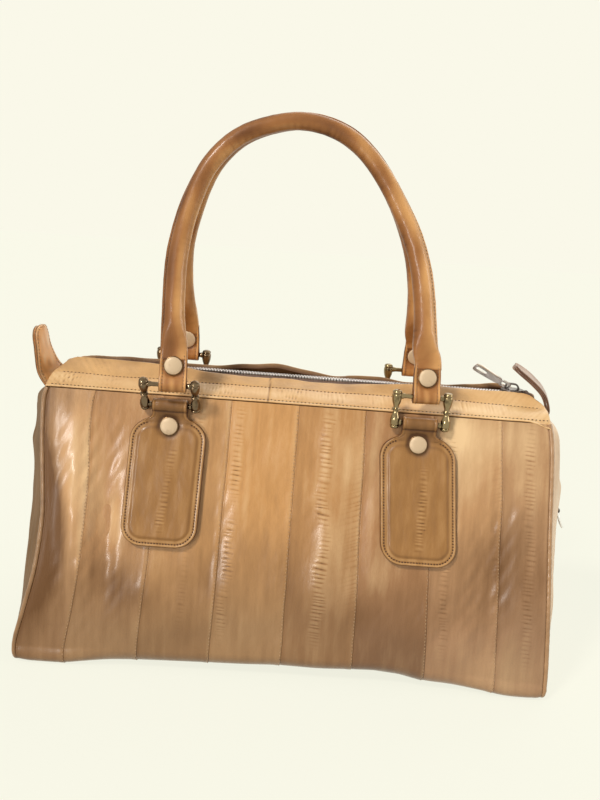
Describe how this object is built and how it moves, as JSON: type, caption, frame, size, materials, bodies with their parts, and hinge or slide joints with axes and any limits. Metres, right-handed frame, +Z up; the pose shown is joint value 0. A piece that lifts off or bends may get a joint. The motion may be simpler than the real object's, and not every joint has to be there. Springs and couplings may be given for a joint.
{
  "type": "satchel",
  "caption": "Zip-topped satchel with flared leather sides pieced from upright strips, rolled handles on metal links and a small zipped end pocket.",
  "frame": {"origin": "on the ground, under the middle of the bag, on the base's underside", "axes": "+Z up, +X to the right of someone who faces the front, +Y to the back"},
  "size_m": [0.3752, 0.132, 0.3742],
  "materials": {
    "strip_leather": "glossy strips with an upright grain",
    "trim_leather": "glossy, with dark edges",
    "handle_leather": "glossy, rolled and stitched",
    "gusset_leather": "softer and paler than the strips",
    "lining_cloth": "woven lining",
    "stiff_board": "stiffening board",
    "cord_core": "twisted cord filler",
    "aged_metal": "aged and darkened",
    "cap_metal": "pearly enamel over brass",
    "zip_cloth": "dark woven tape",
    "zip_metal": "nickel plate"
  },
  "bodies": {
    "bag": {"front_strip_1": "strip_leather", "front_strip_2": "strip_leather", "front_strip_3": "strip_leather", "front_strip_4": "strip_leather", "front_strip_5": "strip_leather", "front_strip_6": "strip_leather", "front_strip_7": "strip_leather", "front_strip_8": "strip_leather", "back_strip_1": "strip_leather", "back_strip_2": "strip_leather", "back_strip_3": "strip_leather", "back_strip_4": "strip_leather", "back_strip_5": "strip_leather", "back_strip_6": "strip_leather", "back_strip_7": "strip_leather", "back_strip_8": "strip_leather", "bottom_panel": "strip_leather", "base_board": "stiff_board", "lining": "lining_cloth", "left_gusset": "gusset_leather", "right_gusset": "gusset_leather", "left_piping": "trim_leather", "right_piping": "trim_leather", "front_left_patch": "trim_leather", "front_right_patch": "trim_leather", "back_left_patch": "trim_leather", "back_right_patch": "trim_leather", "front_left_patch_rivet": "cap_metal", "front_right_patch_rivet": "cap_metal", "back_left_patch_rivet": "cap_metal", "back_right_patch_rivet": "cap_metal", "left_zip_end": "zip_metal", "right_zip_end": "zip_metal", "left_zip_tab": "trim_leather", "right_zip_tab": "trim_leather", "side_pocket": "lining_cloth", "side_zip_tape": "zip_cloth", "side_zip_teeth": "zip_metal"},
    "front_left_link": {"front_left_link": "aged_metal"},
    "front_right_link": {"front_right_link": "aged_metal"},
    "front_handle": {"front_handle_cover": "handle_leather", "front_handle_core": "cord_core", "front_left_handle_rivet": "cap_metal", "front_right_handle_rivet": "cap_metal"},
    "back_left_link": {"back_left_link": "aged_metal"},
    "back_right_link": {"back_right_link": "aged_metal"},
    "back_handle": {"back_handle_cover": "handle_leather", "back_handle_core": "cord_core", "back_left_handle_rivet": "cap_metal", "back_right_handle_rivet": "cap_metal"},
    "front_mouth": {"front_top_band": "trim_leather", "front_zip_tape": "zip_cloth", "front_zip_teeth": "zip_metal"},
    "back_mouth": {"back_top_band": "trim_leather", "back_zip_tape": "zip_cloth", "back_zip_teeth": "zip_metal"},
    "main_slider": {"main_slider": "zip_metal"},
    "main_pull": {"main_pull": "zip_metal"},
    "side_slider": {"side_slider": "zip_metal"},
    "side_pull": {"side_pull": "zip_metal"}
  },
  "joints": [
    {"name": "front_left_link_hinge", "type": "hinge", "parent": "bag", "child": "front_left_link", "pos_m": [-0.084, -0.04055, 0.1795], "axis": [1, 0, 0], "range_deg": [0, 90]},
    {"name": "front_right_link_hinge", "type": "hinge", "parent": "bag", "child": "front_right_link", "pos_m": [0.079, -0.04055, 0.1795], "axis": [1, 0, 0], "range_deg": [0, 90]},
    {"name": "front_handle_hinge", "type": "hinge", "parent": "front_left_link", "child": "front_handle", "pos_m": [-0.0003, -0.04505, 0.19629], "axis": [0.9984, 0.0551, 0.0148], "range_deg": [0, 80]},
    {"name": "back_left_link_hinge", "type": "hinge", "parent": "bag", "child": "back_left_link", "pos_m": [-0.084, 0.04055, 0.1795], "axis": [-1, 0, 0], "range_deg": [0, 90]},
    {"name": "back_right_link_hinge", "type": "hinge", "parent": "bag", "child": "back_right_link", "pos_m": [0.079, 0.04055, 0.1795], "axis": [-1, 0, 0], "range_deg": [0, 90]},
    {"name": "back_handle_hinge", "type": "hinge", "parent": "back_left_link", "child": "back_handle", "pos_m": [-0.0003, 0.04055, 0.1975], "axis": [-1, 0, 0], "range_deg": [0, 80]},
    {"name": "front_mouth_hinge", "type": "hinge", "parent": "bag", "child": "front_mouth", "pos_m": [0, -0.034, 0.1845], "axis": [1, 0, 0], "range_deg": [0, 50]},
    {"name": "back_mouth_hinge", "type": "hinge", "parent": "bag", "child": "back_mouth", "pos_m": [0, 0.034, 0.1845], "axis": [-1, 0, 0], "range_deg": [0, 50]},
    {"name": "main_slider_slide", "type": "slide", "parent": "bag", "child": "main_slider", "axis": [-1, 0, 0], "range_m": [0, 0.283]},
    {"name": "main_pull_hinge", "type": "hinge", "parent": "main_slider", "child": "main_pull", "pos_m": [0.14206, 0, 0.19991], "axis": [0, 1, 0], "range_deg": [-26, 40]},
    {"name": "side_slider_slide", "type": "slide", "parent": "bag", "child": "side_slider", "axis": [0, 0, -1], "range_m": [0, 0.055]},
    {"name": "side_pull_hinge", "type": "hinge", "parent": "side_slider", "child": "side_pull", "pos_m": [0.18655, 0, 0.1134], "axis": [0, -1, 0], "range_deg": [0, 120]}
  ],
  "couplings": [
    {"joint": "front_right_link_hinge", "follows": "front_left_link_hinge", "ratio": 1},
    {"joint": "back_right_link_hinge", "follows": "back_left_link_hinge", "ratio": 1}
  ]
}
